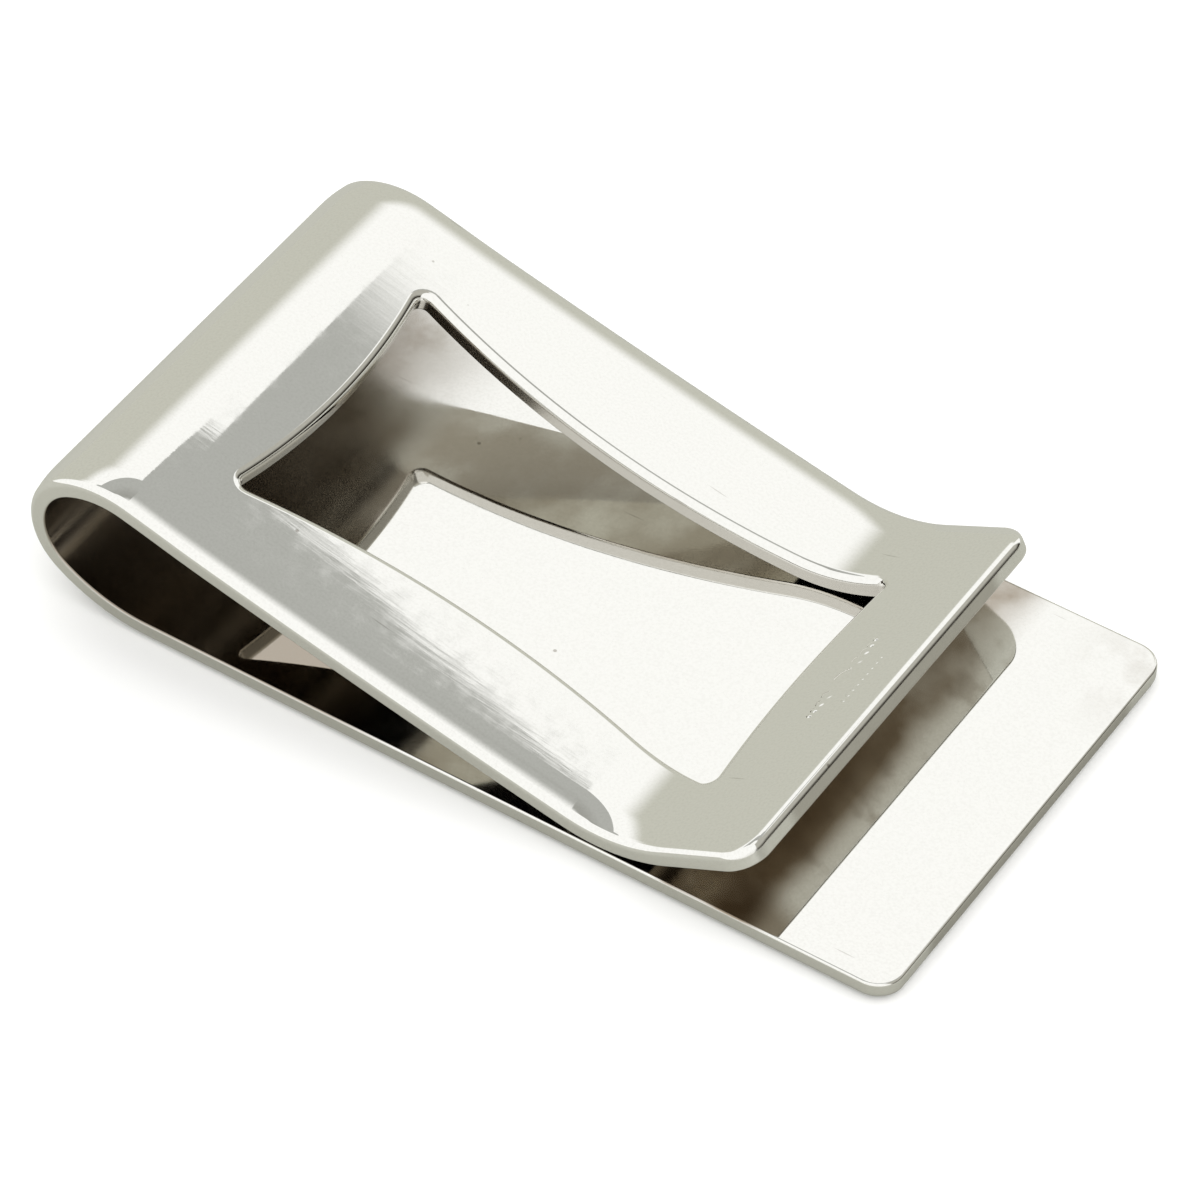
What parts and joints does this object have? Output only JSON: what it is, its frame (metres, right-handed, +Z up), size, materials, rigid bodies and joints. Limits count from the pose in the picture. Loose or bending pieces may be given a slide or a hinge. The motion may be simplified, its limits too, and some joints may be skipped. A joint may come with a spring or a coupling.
{
  "type": "money clip",
  "caption": "Spring money clip folded from one strip of polished silver: flat back plate, looped closed end, windowed front leaf and turned-up lip.",
  "frame": {"origin": "centre of the clip's length and width, on the outer face of the back plate that it lies on", "axes": "+X along the clip from the closed end to the free end, +Y across its width, +Z up from the back plate towards the front leaf"},
  "size_m": [0.0476, 0.0254, 0.0086],
  "materials": {
    "silver": "polished sterling silver with fine wear scratches"
  },
  "bodies": {
    "back": {"back_plate": "silver"},
    "bend_1": {"spring_bend_1": "silver"},
    "bend_2": {"spring_bend_2": "silver"},
    "bend_3": {"spring_bend_3": "silver"},
    "bend_4": {"spring_bend_4": "silver"},
    "bend_5": {"spring_bend_5": "silver"},
    "front": {"front_heel": "silver", "front_rail_left": "silver", "front_rail_right": "silver", "front_lip": "silver"}
  },
  "joints": [
    {"name": "flex_1", "type": "hinge", "parent": "back", "child": "bend_1", "pos_m": [-0.01709, 0, 0], "axis": [0, -1, 0], "range_deg": [0, 1.2], "stiffness_Nm_per_rad": 0.5, "springref_deg": -1.72},
    {"name": "flex_2", "type": "hinge", "parent": "bend_1", "child": "bend_2", "pos_m": [-0.02226, 0, 0.00168], "axis": [0, -1, 0], "range_deg": [0, 1.2]},
    {"name": "flex_3", "type": "hinge", "parent": "bend_2", "child": "bend_3", "pos_m": [-0.02367, 0, 0.00374], "axis": [0, -1, 0], "range_deg": [0, 1.2]},
    {"name": "flex_4", "type": "hinge", "parent": "bend_3", "child": "bend_4", "pos_m": [-0.02348, 0, 0.00622], "axis": [0, -1, 0], "range_deg": [0, 1.2]},
    {"name": "flex_5", "type": "hinge", "parent": "bend_4", "child": "bend_5", "pos_m": [-0.02176, 0, 0.00803], "axis": [0, -1, 0], "range_deg": [0, 1.2]},
    {"name": "flex_6", "type": "hinge", "parent": "bend_5", "child": "front", "pos_m": [-0.01796, 0, 0.00844], "axis": [0, -1, 0], "range_deg": [0, 1.2]}
  ],
  "couplings": [
    {"joint": "flex_2", "follows": "flex_1", "ratio": 1},
    {"joint": "flex_3", "follows": "flex_1", "ratio": 1},
    {"joint": "flex_4", "follows": "flex_1", "ratio": 1},
    {"joint": "flex_5", "follows": "flex_1", "ratio": 1},
    {"joint": "flex_6", "follows": "flex_1", "ratio": 1}
  ]
}
